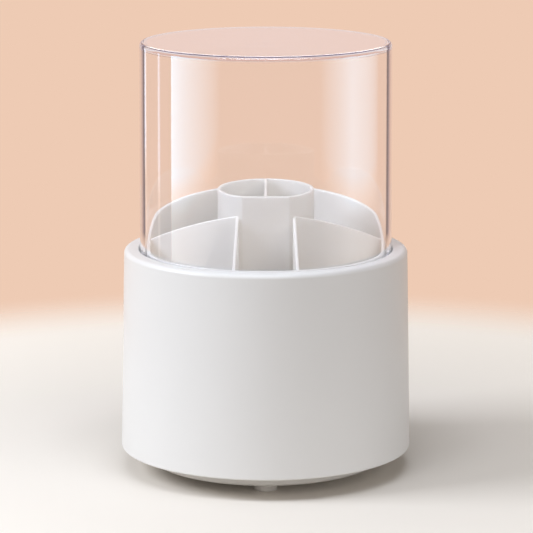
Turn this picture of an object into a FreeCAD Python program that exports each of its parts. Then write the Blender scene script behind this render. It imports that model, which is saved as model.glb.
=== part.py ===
import FreeCAD, Part
import math
import os
import re
import Sketcher

# Rotating brush holder: a round cup turns on a ball race over a low base with four feet.
# A clear cover nests in the rim of the cup, and a divider with six compartments drops into it.
# Origin on the table at the turning axis, +Z up, front of the divider towards -Y.
# Millimetres and degrees.

# Driving dimensions: name, value, meaning.
SIZES = [
    ("foot_height", 4.3, "table to the underside of the base"),
    ("foot_top_radius", 5.6, "foot where it meets the base"),
    ("foot_tip_radius", 5.35, "foot at the table"),
    ("foot_round", 0.5, "rounding of the foot's tread edge"),
    ("foot_inset", 10.7, "edge of the base to the middle of a foot"),
    ("foot_stem_radius", 2.4, "stem pressed into the base"),
    ("foot_fit", 0.05, "clearance of a stem in the base"),
    ("foot_count", 4, "feet, evenly spaced"),
    ("base_inset", 13.8, "how far the base stands back under the shell's lower edge"),
    ("base_floor", 2.5, "thickness of the base's floor"),
    ("base_wall", 2.4, "thickness of the base's rim wall"),
    ("base_rim", 8.0, "height of the base's rim wall"),
    ("base_round", 1.2, "rounding of the base's lower edge"),
    ("base_land", 6.2, "underside of the base to the lower race land"),
    ("race_inset", 20.2, "edge of the base to the middle of a ball"),
    ("race_width", 9.0, "width of each race land"),
    ("race_gap", 3.0, "lower land to upper land"),
    ("race_depth", 2.0, "how far the upper land stands below the floor plate"),
    ("ball_radius", 3.0, "steel ball"),
    ("ball_count", 12, "balls, evenly spaced"),
    ("ball_play", 0.05, "clearance of a ball in its race grooves"),
    ("cage_width", 11.0, "radial width of the ball cage"),
    ("cage_thickness", 1.8, "thickness of the ball cage"),
    ("cage_play", 0.15, "clearance of a ball in its cage hole"),
    ("pivot_radius", 4.0, "pivot boss of the floor plate"),
    ("pivot_play", 0.06, "running clearance of the pivot boss"),
    ("pivot_lift", 0.3, "running clearance above the pivot washer"),
    ("pivot_sleeve", 5.0, "length of the sleeve around the pivot boss"),
    ("sleeve_radius", 6.6, "outside of that sleeve"),
    ("hub_wall", 2.6, "wall around the recess that hides the pivot screw"),
    ("washer_radius", 7.5, "pivot washer"),
    ("washer_thickness", 0.8, "pivot washer"),
    ("washer_room", 1.5, "clearance around the pivot washer"),
    ("head_recess", 0.8, "underside of the base up to the head of the pivot screw"),
    ("pilot_roof", 0.8, "floor plate left above the pilot hole of the pivot screw"),
    ("screw_radius", 1.5, "shank of every screw"),
    ("screw_length", 9.5, "shank of a floor screw below its head"),
    ("screw_head_radius", 2.8, "pan head"),
    ("screw_head_height", 2.0, "pan head"),
    ("screw_head_round", 0.9, "rounding of the pan head"),
    ("screw_fit", 0.05, "clearance of a shank in its pilot hole"),
    ("screw_pass", 0.3, "clearance of a shank in a through hole"),
    ("screw_spare", 0.6, "pilot hole beyond the tip of the screw"),
    ("drive_span", 2.8, "length of the cross recess"),
    ("drive_slot", 0.7, "width of the cross recess"),
    ("drive_depth", 1.1, "depth of the cross recess"),
    ("plate_thickness", 2.5, "floor plate"),
    ("plate_recess", 4.7, "shell's lower edge to the floor plate"),
    ("plate_play", 0.4, "clearance of the floor plate in the shell"),
    ("boss_radius", 4.4, "screw boss on the shell's wall"),
    ("boss_height", 16.0, "screw boss"),
    ("boss_sink", 0.4, "how far a boss reaches into the shell's wall"),
    ("boss_count", 4, "bosses and floor screws, evenly spaced"),
    ("boss_turn", 45, "turn of the first boss, so that the bosses stand between the feet"),
    ("shell_rim_radius", 68.0, "outside of the shell at its rim"),
    ("shell_flare", 2.0, "how much wider the shell is at its lower edge"),
    ("shell_height", 96.9, "lower edge to rim"),
    ("shell_wall", 2.5, "wall of the shell"),
    ("shell_edge_round", 0.8, "rounding of the shell's lower edge"),
    ("rim_width", 7.05, "in-turned rim, from the shell's outside to the cover's hole"),
    ("rim_thickness", 2.6, "in-turned rim"),
    ("rim_round", 2.2, "rounding of the rim's outer edge"),
    ("lip_round", 0.6, "rounding of the rim's inner edge"),
    ("seat_depth", 8.6, "rim to the seat of the cover"),
    ("seat_width", 3.0, "seat of the cover"),
    ("seat_thickness", 2.0, "seat of the cover"),
    ("seat_wall", 2.0, "wall between rim and seat"),
    ("cover_draft", 0.45, "how far the cover's wall leans in from its lower edge to its roof"),
    ("cover_height", 108.1, "seat to the top of the cover"),
    ("cover_wall", 2.2, "wall of the cover"),
    ("cover_roof", 2.4, "roof of the cover"),
    ("cover_round", 2.0, "rounding of the roof's outer edge"),
    ("cover_inner_round", 1.2, "rounding inside, under the roof"),
    ("cover_edge_round", 0.6, "rounding of the cover's lower edge"),
    ("cover_play", 0.5, "clearance of the cover in the rim"),
    ("gate_radius", 1.8, "stub under the middle of the roof, where the mould was filled"),
    ("gate_drop", 1.9, "how far that stub hangs under the roof"),
    ("gate_round", 0.3, "rounding of the stub's lower edge"),
    ("insert_floor", 1.8, "floor of the divider"),
    ("insert_foot_round", 1.5, "rounding of the divider's lower edge"),
    ("insert_play", 0.85, "clearance of the divider's ring wall in the seat of the cover"),
    ("ring_draft", 1.1, "how far the ring wall leans out from its floor to the shell's rim"),
    ("ring_wall", 1.6, "ring wall"),
    ("ring_drop", 0.3, "shell's rim to the front of the ring wall"),
    ("bend_back", 17.0, "turning axis back to the bend of the ring wall's rim"),
    ("bend_rise", 14.2, "front of the ring wall up to that bend"),
    ("back_slope", 9.8, "rise of the rim behind the bend"),
    ("side_fall", 28.0, "fall of the rim in front of the bend"),
    ("bend_round", 25.0, "rounding of the bend"),
    ("dip_round", 10.0, "rounding where the fall meets the front"),
    ("tube_radius", 23.1, "outside of the tube"),
    ("tube_wall", 1.6, "wall of the tube"),
    ("tube_rise", 28.9, "shell's rim to the top of the tube, at the turning axis"),
    ("tube_tilt", 2.0, "fall of the tube's top towards the front"),
    ("flat_depth", 2.8, "how far the flat front is cut into the tube's round"),
    ("partition", 1.3, "partition inside the tube"),
    ("wing_wall", 1.6, "wing wall"),
    ("wing_sweep", 24.0, "how far the wings lean back from the flat front"),
    ("wing_neck", 1.3, "width of the wing beside the tube's top"),
    ("neck_drop", 7.9, "top of the tube to the end of that neck's straight side"),
    ("neck_round", 2.5, "rounding between the neck and the wing's top edge"),
    ("wing_slope", 11.0, "fall of the wing's top edge at the neck"),
    ("wing_curve", 205.0, "radius of the wing's top edge"),
    ("front_wall", 1.5, "front wall"),
    ("front_half", 13.4, "middle plane to a front wall, at its wing"),
    ("front_splay", 1.9, "how far the front walls spread towards the ring"),
]
NAMES = {name for name, value, note in SIZES}

# Levels above the table, worked out from the bottom up.
BASE_TOP = "(foot_height + base_floor)"
LOWER_LAND = "(foot_height + base_land)"
BALL_LEVEL = "(foot_height + base_land + race_gap / 2)"
UPPER_LAND = "(foot_height + base_land + race_gap)"
PLATE_UNDER = "(foot_height + base_land + race_gap + race_depth)"
PLATE_TOP = f"({PLATE_UNDER} + plate_thickness)"
SHELL_FOOT = f"({PLATE_UNDER} - plate_recess)"
RIM = f"({SHELL_FOOT} + shell_height)"
SEAT = f"({RIM} - seat_depth)"
COVER_TOP = f"({SEAT} + cover_height)"
HUB_CEILING = "(foot_height + head_recess + screw_head_height + washer_thickness + pivot_lift)"
PIVOT_END = f"({HUB_CEILING} - pivot_lift)"
WASHER_UNDER = f"({PIVOT_END} - washer_thickness)"
INSERT_TOP = f"({PLATE_TOP} + insert_floor)"
RING_FRONT = f"({RIM} - ring_drop)"
TUBE_TOP = f"({RIM} + tube_rise)"
TUBE_PEAK = f"({TUBE_TOP} + tube_radius * tan(tube_tilt))"

# Radii and reaches, worked out from the shell's rim.
FOOT_RADIUS = "(shell_rim_radius + shell_flare)"
COVER_BORE = "(shell_rim_radius - rim_width)"
COVER_RADIUS = f"({COVER_BORE} - cover_play)"
COVER_TOP_RADIUS = f"({COVER_RADIUS} - cover_draft)"
SEAT_BORE = f"({COVER_BORE} - seat_width)"
RING_RIM = f"({SEAT_BORE} - insert_play)"
RING_FOOT = f"({RING_RIM} - ring_draft)"
PLATE_RADIUS = f"({FOOT_RADIUS} - shell_wall - plate_play)"
BOSS_CIRCLE = f"({FOOT_RADIUS} - shell_wall - boss_radius + boss_sink)"
BASE_RADIUS = f"({FOOT_RADIUS} - base_inset)"
FOOT_CIRCLE = f"({BASE_RADIUS} - foot_inset)"
RACE_RADIUS = f"({BASE_RADIUS} - race_inset)"
RACE_INNER = f"({RACE_RADIUS} - race_width / 2)"
RACE_OUTER = f"({RACE_RADIUS} + race_width / 2)"
PIVOT_BORE = "(pivot_radius + pivot_play)"
HUB_RECESS = "(washer_radius + washer_room)"
PILOT_RADIUS = "(screw_radius + screw_fit)"
PIVOT_SCREW_LENGTH = f"({PLATE_TOP} - pilot_roof - screw_spare - {WASHER_UNDER})"
TUBE_FLAT = "(tube_radius - flat_depth)"
FLAT_HALF = f"sqrt(tube_radius^2 - {TUBE_FLAT}^2)"

doc = FreeCAD.newDocument("BrushHolder")


def make_sheet():
    """Spreadsheet that holds the driving dimensions."""
    sheet = doc.addObject("Spreadsheet::Sheet", "Sizes")
    for row, (name, value, note) in enumerate(SIZES, start=1):
        sheet.set(f"A{row}", name)
        sheet.set(f"B{row}", str(value))
        sheet.set(f"C{row}", note)
        sheet.setAlias(f"B{row}", name)
    doc.recompute()
    return sheet


sizes = make_sheet()


def formula(text):
    """A formula whose size names point at the sheet."""
    return re.sub(r"[a-z_]+", lambda word: "Sizes." + word[0] if word[0] in NAMES else word[0], text)


def number(text):
    """What a formula comes to with the present sizes."""
    return float(sizes.evalExpression(formula(text)))


def bind(item, prop, text):
    item.setExpression(prop, formula(text))


def make_body(label):
    body = doc.addObject("PartDesign::Body", label)
    body.Label = label
    return body


def origin_feature(body, role):
    return next(item for item in body.Origin.OriginFeatures if item.Role == role)


def make_sketch(body, name, role, level=None):
    """Sketch on one of the body's own planes, raised along its normal if a level is given."""
    sketch = body.newObject("Sketcher::SketchObject", name)
    sketch.AttachmentSupport = (origin_feature(body, role), "")
    sketch.MapMode = "FlatFace"
    if level:
        bind(sketch, ".AttachmentOffset.Base.z", level)
    return sketch


def locate(sketch, edge, end, place):
    """Place one end of an edge by its two formulas."""
    for kind, text in zip(("DistanceX", "DistanceY"), place):
        index = sketch.addConstraint(Sketcher.Constraint(kind, -1, 1, edge, end, number(text)))
        bind(sketch, f"Constraints[{index}]", text)


def arc_between(start, finish, radius):
    """Minor arc of a counter-clockwise circle from start to finish."""
    chord = finish - start
    half = chord.Length / 2
    outward = FreeCAD.Vector(chord.y, -chord.x, 0).normalize()
    rise = radius - math.sqrt(radius**2 - half**2)
    return Part.ArcOfCircle(start, (start + finish) / 2 + outward * rise, finish)


def draw_outline(sketch, corners, arcs=None):
    """Closed outline. arcs maps a corner's index to the radius and sense of the edge that leaves it."""
    arcs = arcs or {}
    first = sketch.GeometryCount
    count = len(corners)
    points = [FreeCAD.Vector(number(x), number(y), 0) for x, y in corners]
    ends = []
    for index, point in enumerate(points):
        following = points[(index + 1) % count]
        radius, sense = arcs.get(index, (None, "ccw"))
        forward = sense == "ccw"
        ends.append((1, 2) if forward else (2, 1))
        if radius is None:
            edge = Part.LineSegment(point, following)
        elif forward:
            edge = arc_between(point, following, number(radius))
        else:
            edge = arc_between(following, point, number(radius))
        sketch.addGeometry(edge, False)
    for index in range(count):
        after = (index + 1) % count
        joint = (first + index, ends[index][1], first + after, ends[after][0])
        sketch.addConstraint(Sketcher.Constraint("Coincident", *joint))
    for index, corner in enumerate(corners):
        locate(sketch, first + index, ends[index][0], corner)
    for index, (radius, sense) in arcs.items():
        curve = sketch.addConstraint(Sketcher.Constraint("Radius", first + index, number(radius)))
        bind(sketch, f"Constraints[{curve}]", radius)


def draw_circle(sketch, centre, radius):
    middle = FreeCAD.Vector(number(centre[0]), number(centre[1]), 0)
    circle = sketch.addGeometry(Part.Circle(middle, FreeCAD.Vector(0, 0, 1), number(radius)), False)
    locate(sketch, circle, 3, centre)
    index = sketch.addConstraint(Sketcher.Constraint("Radius", circle, number(radius)))
    bind(sketch, f"Constraints[{index}]", radius)


def turn(body, name, sketch, kind="Revolution"):
    """Revolution of a sketch around the turning axis, or Groove that cuts with it."""
    feature = body.newObject(f"PartDesign::{kind}", name)
    feature.Profile = sketch
    feature.ReferenceAxis = (sketch, ["V_Axis"])
    feature.Angle = 360
    sketch.Visibility = False
    return feature


def extrude(body, name, sketch, length, kind="Pad", back=False, both_ways=False):
    """Pad of a sketch, or Pocket that cuts with it. back turns the direction round."""
    feature = body.newObject(f"PartDesign::{kind}", name)
    feature.Profile = sketch
    bind(feature, "Length", length)
    feature.Reversed = back
    feature.Midplane = both_ways
    return feature


def repeat_around(body, name, features, count):
    """Copies of features, evenly spaced around the turning axis."""
    pattern = body.newObject("PartDesign::PolarPattern", name)
    pattern.Originals = features
    pattern.Axis = (origin_feature(body, "Z_Axis"), [""])
    pattern.Angle = 360
    bind(pattern, "Occurrences", count)
    body.Tip = pattern


def mirror_across(body, name, features):
    """Mirror image of features on the other side of the middle plane."""
    mirror = body.newObject("PartDesign::Mirrored", name)
    mirror.Originals = features
    mirror.MirrorPlane = (origin_feature(body, "YZ_Plane"), [""])
    body.Tip = mirror


def round_rims(body, name, radius, rims):
    """Fillet of the body's circular edges that have the given radii and levels."""
    doc.recompute()
    solid = body.Tip
    wanted = [(number(r), number(z)) for r, z in rims]
    near = 1e-4
    edges = []
    for index, edge in enumerate(solid.Shape.Edges, start=1):
        if not isinstance(edge.Curve, Part.Circle):
            continue
        found = (edge.Curve.Radius, edge.Curve.Center.z)
        if any(math.dist(found, place) < near for place in wanted):
            edges.append(f"Edge{index}")
    fillet = body.newObject("PartDesign::Fillet", name)
    fillet.Base = (solid, edges)
    bind(fillet, "Radius", radius)


def on_circle(radius, angle):
    """Formulas of a point on a circle around the turning axis."""
    return f"{radius} * cos({angle})", f"{radius} * sin({angle})"


def set_place(item, x, y, z):
    for axis, text in zip("xyz", (x, y, z)):
        bind(item, f".Placement.Base.{axis}", text)


def cut_race(body, name):
    """Round groove that guides the balls."""
    sketch = make_sketch(body, f"{name}_section", "XZ_Plane")
    draw_circle(sketch, (RACE_RADIUS, BALL_LEVEL), "ball_radius + ball_play")
    turn(body, name, sketch, "Groove")


def make_foot(label, angle):
    """Soft tapered foot with a stem that is pressed into the base."""
    body = make_body(label)
    sketch = make_sketch(body, f"{label}_section", "XZ_Plane")
    draw_outline(sketch, [
        ("0", "0"),
        ("foot_tip_radius", "0"),
        ("foot_top_radius", "foot_height"),
        ("foot_stem_radius", "foot_height"),
        ("foot_stem_radius", BASE_TOP),
        ("0", BASE_TOP),
    ])
    turn(body, f"{label}_turned", sketch)
    round_rims(body, f"{label}_tread", "foot_round", [("foot_tip_radius", "0")])
    set_place(body, *on_circle(FOOT_CIRCLE, angle), "0")
    return body


def make_base():
    """Disc with a rim wall, the lower race land, the pivot hub and holes for the feet."""
    body = make_body("turntable_base")
    hub_radius = f"({HUB_RECESS} + hub_wall)"
    hub_top = f"({HUB_CEILING} + base_floor)"
    sleeve_top = f"({HUB_CEILING} + pivot_sleeve)"
    sketch = make_sketch(body, "base_section", "XZ_Plane")
    draw_outline(sketch, [
        (PIVOT_BORE, HUB_CEILING),
        (HUB_RECESS, HUB_CEILING),
        (HUB_RECESS, "foot_height"),
        (BASE_RADIUS, "foot_height"),
        (BASE_RADIUS, "foot_height + base_rim"),
        (f"{BASE_RADIUS} - base_wall", "foot_height + base_rim"),
        (f"{BASE_RADIUS} - base_wall", BASE_TOP),
        (RACE_OUTER, BASE_TOP),
        (RACE_OUTER, LOWER_LAND),
        (RACE_INNER, LOWER_LAND),
        (RACE_INNER, BASE_TOP),
        (hub_radius, BASE_TOP),
        (hub_radius, hub_top),
        ("sleeve_radius", hub_top),
        ("sleeve_radius", sleeve_top),
        (PIVOT_BORE, sleeve_top),
    ])
    turn(body, "base_turned", sketch)
    cut_race(body, "lower_race")
    round_rims(body, "base_edge", "base_round", [(BASE_RADIUS, "foot_height")])
    holes = make_sketch(body, "foot_hole_outline", "XY_Plane", "foot_height")
    draw_circle(holes, (FOOT_CIRCLE, "0"), "foot_stem_radius + foot_fit")
    hole = extrude(body, "foot_hole", holes, "base_floor", "Pocket", back=True)
    repeat_around(body, "foot_holes", [hole], "foot_count")
    return body


def make_cage():
    """Flat ring with one hole for each ball."""
    body = make_body("ball_cage")
    sketch = make_sketch(body, "cage_outline", "XY_Plane", BALL_LEVEL)
    draw_circle(sketch, ("0", "0"), f"{RACE_RADIUS} + cage_width / 2")
    draw_circle(sketch, ("0", "0"), f"{RACE_RADIUS} - cage_width / 2")
    extrude(body, "cage_ring", sketch, "cage_thickness", both_ways=True)
    pocket_outline = make_sketch(body, "cage_pocket_outline", "XY_Plane", BALL_LEVEL)
    draw_circle(pocket_outline, (RACE_RADIUS, "0"), "ball_radius + cage_play")
    pocket = extrude(body, "cage_pocket", pocket_outline, "cage_thickness * 2", "Pocket", both_ways=True)
    repeat_around(body, "cage_pockets", [pocket], "ball_count")
    return body


def make_ball(index):
    """Steel ball of the race."""
    ball = doc.addObject("Part::Sphere", f"steel_ball_{index + 1:02d}")
    ball.Label = f"steel_ball_{index + 1:02d}"
    bind(ball, "Radius", "ball_radius")
    set_place(ball, *on_circle(RACE_RADIUS, f"({index} * 360 / ball_count)"), BALL_LEVEL)
    return ball


def make_screw(label, length, place):
    """Pan-head screw that points up, with its head's seat at the given place."""
    body = make_body(label)
    sketch = make_sketch(body, f"{label}_section", "XZ_Plane")
    draw_outline(sketch, [
        ("0", "-screw_head_height"),
        ("screw_head_radius", "-screw_head_height"),
        ("screw_head_radius", "0"),
        ("screw_radius", "0"),
        ("screw_radius", f"{length} - screw_radius"),
        ("0", length),
    ])
    turn(body, f"{label}_turned", sketch)
    round_rims(body, f"{label}_head", "screw_head_round", [("screw_head_radius", "-screw_head_height")])
    drive = make_sketch(body, f"{label}_drive_outline", "XY_Plane", "-screw_head_height")
    arm = "drive_span / 2"
    side = "drive_slot / 2"
    draw_outline(drive, [
        (arm, f"-{side}"), (arm, side), (side, side), (side, arm),
        (f"-{side}", arm), (f"-{side}", side), (f"-{arm}", side), (f"-{arm}", f"-{side}"),
        (f"-{side}", f"-{side}"), (f"-{side}", f"-{arm}"), (side, f"-{arm}"), (side, f"-{side}"),
    ])
    extrude(body, f"{label}_drive", drive, "drive_depth", "Pocket", back=True)
    set_place(body, *place)
    return body


def make_washer():
    """Washer between the pivot screw and the end of the pivot boss."""
    body = make_body("pivot_washer")
    sketch = make_sketch(body, "washer_outline", "XY_Plane", WASHER_UNDER)
    draw_circle(sketch, ("0", "0"), "washer_radius")
    draw_circle(sketch, ("0", "0"), "screw_radius + screw_pass")
    extrude(body, "washer_disc", sketch, "washer_thickness")
    return body


def make_plate():
    """Floor of the cup, with the upper race land, the pivot boss and holes for its screws."""
    body = make_body("floor_plate")
    pilot_top = f"({PLATE_TOP} - pilot_roof)"
    sketch = make_sketch(body, "plate_section", "XZ_Plane")
    draw_outline(sketch, [
        ("0", PLATE_TOP),
        ("0", pilot_top),
        (PILOT_RADIUS, pilot_top),
        (PILOT_RADIUS, PIVOT_END),
        ("pivot_radius", PIVOT_END),
        ("pivot_radius", PLATE_UNDER),
        (RACE_INNER, PLATE_UNDER),
        (RACE_INNER, UPPER_LAND),
        (RACE_OUTER, UPPER_LAND),
        (RACE_OUTER, PLATE_UNDER),
        (PLATE_RADIUS, PLATE_UNDER),
        (PLATE_RADIUS, PLATE_TOP),
    ])
    turn(body, "plate_turned", sketch)
    cut_race(body, "upper_race")
    outline = make_sketch(body, "plate_hole_outline", "XY_Plane", PLATE_TOP)
    draw_circle(outline, on_circle(BOSS_CIRCLE, "boss_turn"), "screw_radius + screw_pass")
    hole = extrude(body, "plate_hole", outline, "plate_thickness", "Pocket")
    repeat_around(body, "plate_holes", [hole], "boss_count")
    return body


def make_shell():
    """Cup wall, open below, with an in-turned rim, a seat for the cover and four screw bosses."""
    body = make_body("outer_shell")
    seat_under = f"({SEAT} - seat_thickness)"
    seat_outer = f"({COVER_BORE} + seat_wall)"
    rim_under = f"({RIM} - rim_thickness)"
    sketch = make_sketch(body, "shell_section", "XZ_Plane")
    draw_outline(sketch, [
        (FOOT_RADIUS, SHELL_FOOT),
        ("shell_rim_radius", RIM),
        (COVER_BORE, RIM),
        (COVER_BORE, SEAT),
        (SEAT_BORE, SEAT),
        (SEAT_BORE, seat_under),
        (seat_outer, seat_under),
        (seat_outer, rim_under),
        ("shell_rim_radius - shell_wall", rim_under),
        (f"{FOOT_RADIUS} - shell_wall", SHELL_FOOT),
    ])
    turn(body, "shell_turned", sketch)
    outline = make_sketch(body, "boss_outline", "XY_Plane", PLATE_TOP)
    draw_circle(outline, on_circle(BOSS_CIRCLE, "boss_turn"), "boss_radius")
    boss = extrude(body, "boss", outline, "boss_height")
    pilot_outline = make_sketch(body, "boss_pilot_outline", "XY_Plane", PLATE_TOP)
    draw_circle(pilot_outline, on_circle(BOSS_CIRCLE, "boss_turn"), PILOT_RADIUS)
    depth = "screw_length - plate_thickness + screw_spare"
    pilot = extrude(body, "boss_pilot", pilot_outline, depth, "Pocket", back=True)
    repeat_around(body, "bosses", [boss, pilot], "boss_count")
    round_rims(body, "rim_edge", "rim_round", [("shell_rim_radius", RIM)])
    round_rims(body, "lip_edge", "lip_round", [(COVER_BORE, RIM)])
    round_rims(body, "shell_edge", "shell_edge_round", [(FOOT_RADIUS, SHELL_FOOT)])
    return body


def make_cover():
    """Clear cover with a flat roof and a gate stub under its middle, a little wider at its open end."""
    body = make_body("dust_cover")
    roof_under = f"({COVER_TOP} - cover_roof)"
    gate_end = f"({roof_under} - gate_drop)"
    inner_foot = f"({COVER_RADIUS} - cover_wall)"
    inner_top = f"({COVER_TOP_RADIUS} - cover_wall)"
    sketch = make_sketch(body, "cover_section", "XZ_Plane")
    draw_outline(sketch, [
        ("0", COVER_TOP),
        (COVER_TOP_RADIUS, COVER_TOP),
        (COVER_RADIUS, SEAT),
        (inner_foot, SEAT),
        (inner_top, roof_under),
        ("gate_radius", roof_under),
        ("gate_radius", gate_end),
        ("0", gate_end),
    ])
    turn(body, "cover_turned", sketch)
    round_rims(body, "gate_edge", "gate_round", [("gate_radius", gate_end)])
    round_rims(body, "roof_edge", "cover_round", [(COVER_TOP_RADIUS, COVER_TOP)])
    round_rims(body, "roof_corner", "cover_inner_round", [(inner_top, roof_under)])
    round_rims(body, "cover_edge", "cover_edge_round", [(COVER_RADIUS, SEAT), (inner_foot, SEAT)])
    return body


def ring_radius(level):
    """Outside of the divider's ring wall at a level: it widens upwards, so that it leaves its mould."""
    rise = f"({level} - {PLATE_TOP}) / ({RIM} - {PLATE_TOP})"
    return f"({RING_FOOT} + ring_draft * {rise})"


def reach_to_ring(start, way, level):
    """Length of a straight wall from its start to the middle of the ring wall."""
    along = f"({start[0]} * {way[0]} + ({start[1]}) * {way[1]})"
    square = f"({start[0]})^2 + ({start[1]})^2"
    return f"(sqrt({along}^2 - ({square}) + ({ring_radius(level)} - ring_wall / 2)^2) - {along})"


def add_ring(body):
    """Floor and ring wall, then the sweep of the rim: low in front, rising behind the bend."""
    back_end = f"({ring_radius(RIM)} * 2)"
    bend = f"({RING_FRONT} + bend_rise)"
    ring_top = f"({bend} + {back_end} * tan(back_slope))"
    sketch = make_sketch(body, "ring_section", "XZ_Plane")
    draw_outline(sketch, [
        ("0", PLATE_TOP),
        (ring_radius(PLATE_TOP), PLATE_TOP),
        (ring_radius(ring_top), ring_top),
        (f"{ring_radius(ring_top)} - ring_wall", ring_top),
        (f"{ring_radius(INSERT_TOP)} - ring_wall", INSERT_TOP),
        ("0", INSERT_TOP),
    ])
    turn(body, "ring_turned", sketch)
    round_rims(body, "insert_foot", "insert_foot_round", [(RING_FOOT, PLATE_TOP)])
    bend_reach = "(bend_round * tan((side_fall - back_slope) / 2))"
    dip_reach = "(dip_round * tan(side_fall / 2))"
    dip_back = "(bend_back - bend_rise / tan(side_fall))"
    sweep = make_sketch(body, "rim_sweep_outline", "YZ_Plane")
    draw_outline(sweep, [
        (back_end, f"{bend} + ({back_end} - bend_back) * tan(back_slope)"),
        (f"bend_back + {bend_reach} * cos(back_slope)", f"{bend} + {bend_reach} * sin(back_slope)"),
        (f"bend_back - {bend_reach} * cos(side_fall)", f"{bend} - {bend_reach} * sin(side_fall)"),
        (f"{dip_back} + {dip_reach} * cos(side_fall)", f"{RING_FRONT} + {dip_reach} * sin(side_fall)"),
        (f"{dip_back} - {dip_reach}", RING_FRONT),
        (f"-{back_end}", RING_FRONT),
        (f"-{back_end}", f"{ring_top} * 2"),
        (back_end, f"{ring_top} * 2"),
    ], {1: ("bend_round", "ccw"), 3: ("dip_round", "cw")})
    extrude(body, "rim_sweep", sweep, f"{back_end} * 2", "Pocket", both_ways=True)


def add_tube(body):
    """Tube with a flat front and a partition from front to back."""
    outline = make_sketch(body, "tube_outline", "XY_Plane", PLATE_TOP)
    draw_outline(outline, [
        (FLAT_HALF, f"-{TUBE_FLAT}"),
        ("0", "tube_radius"),
        (f"-{FLAT_HALF}", f"-{TUBE_FLAT}"),
    ], {0: ("tube_radius", "ccw"), 1: ("tube_radius", "ccw")})
    extrude(body, "tube", outline, f"{TUBE_PEAK} - {PLATE_TOP}")
    bore = "(tube_radius - tube_wall)"
    front = f"({TUBE_FLAT} - tube_wall)"
    corner = f"sqrt({bore}^2 - {front}^2)"
    middle = "(partition / 2)"
    back = f"sqrt({bore}^2 - {middle}^2)"
    bores = make_sketch(body, "tube_bore_outline", "XY_Plane", TUBE_PEAK)
    draw_outline(bores, [
        (middle, f"-{front}"), (corner, f"-{front}"), (middle, back),
    ], {1: (bore, "ccw")})
    draw_outline(bores, [
        (f"-{middle}", f"-{front}"), (f"-{corner}", f"-{front}"), (f"-{middle}", back),
    ], {1: (bore, "cw")})
    extrude(body, "tube_bores", bores, f"{TUBE_PEAK} - {INSERT_TOP}", "Pocket")


def add_walls(body):
    """Wing walls from the corners of the flat front to the ring, and the two front walls."""
    shoulder = ("(wing_neck + neck_round * (1 - sin(wing_slope)))",
                f"({TUBE_TOP} - neck_drop - neck_round * cos(wing_slope))")
    corner = (FLAT_HALF, f"-{TUBE_FLAT}")
    wing_way = ("cos(wing_sweep)", "sin(wing_sweep)")
    wing_end = reach_to_ring(corner, wing_way, RING_FRONT)
    curve_run = f"({wing_end} - {shoulder[0]} + wing_curve * sin(wing_slope))"
    wing_drop = f"(wing_curve * cos(wing_slope) - sqrt(wing_curve^2 - {curve_run}^2))"
    wing = make_sketch(body, "wing_outline", "XZ_Plane", TUBE_FLAT)
    bind(wing, ".AttachmentOffset.Base.x", FLAT_HALF)
    wing.AttachmentOffset.Rotation = FreeCAD.Rotation(FreeCAD.Vector(0, 1, 0), 1)
    bind(wing, ".AttachmentOffset.Rotation.Angle", "wing_sweep")
    draw_outline(wing, [
        ("0", PLATE_TOP),
        (reach_to_ring(corner, wing_way, PLATE_TOP), PLATE_TOP),
        (wing_end, f"{shoulder[1]} - {wing_drop}"),
        shoulder,
        ("wing_neck", f"{TUBE_TOP} - neck_drop"),
        ("wing_neck", TUBE_PEAK),
        ("0", TUBE_PEAK),
    ], {2: ("wing_curve", "ccw"), 3: ("neck_round", "cw")})
    wing_pad = extrude(body, "wing", wing, "wing_wall", back=True)
    mirror_across(body, "wings", [wing_pad])

    root = ("front_half", f"(wing_wall / 2 - {TUBE_FLAT} + (front_half - {FLAT_HALF}) * tan(wing_sweep))")
    front_way = ("sin(front_splay)", "(-cos(front_splay))")
    front = make_sketch(body, "front_wall_outline", "YZ_Plane", root[0])
    bind(front, ".AttachmentOffset.Base.x", root[1])
    front.AttachmentOffset.Rotation = FreeCAD.Rotation(FreeCAD.Vector(0, 1, 0), 1)
    bind(front, ".AttachmentOffset.Rotation.Angle", "front_splay")
    draw_outline(front, [
        ("0", PLATE_TOP),
        ("0", shoulder[1]),
        (f"-{reach_to_ring(root, front_way, RING_FRONT)}", RING_FRONT),
        (f"-{reach_to_ring(root, front_way, PLATE_TOP)}", PLATE_TOP),
    ])
    front_pad = extrude(body, "front_wall_right", front, "front_wall", both_ways=True)
    mirror_across(body, "front_walls", [front_pad])


def tilt_tube(body):
    """Slope the top of the tube and of its neck down towards the front."""
    run = "(tube_radius * 2)"
    drop = f"({run} * tan(tube_tilt))"
    sketch = make_sketch(body, "tube_tilt_outline", "YZ_Plane")
    draw_outline(sketch, [
        (f"-{run}", f"{TUBE_TOP} - {drop}"),
        (run, f"{TUBE_TOP} + {drop}"),
        (run, f"{TUBE_TOP} + {drop} * 2"),
        (f"-{run}", f"{TUBE_TOP} + {drop} * 2"),
    ])
    extrude(body, "tube_tilt_cut", sketch, f"{run} * 2", "Pocket", both_ways=True)


def make_insert():
    """Drop-in divider, moulded in one piece."""
    body = make_body("divider_insert")
    add_ring(body)
    add_tube(body)
    add_walls(body)
    tilt_tube(body)
    return body


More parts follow.
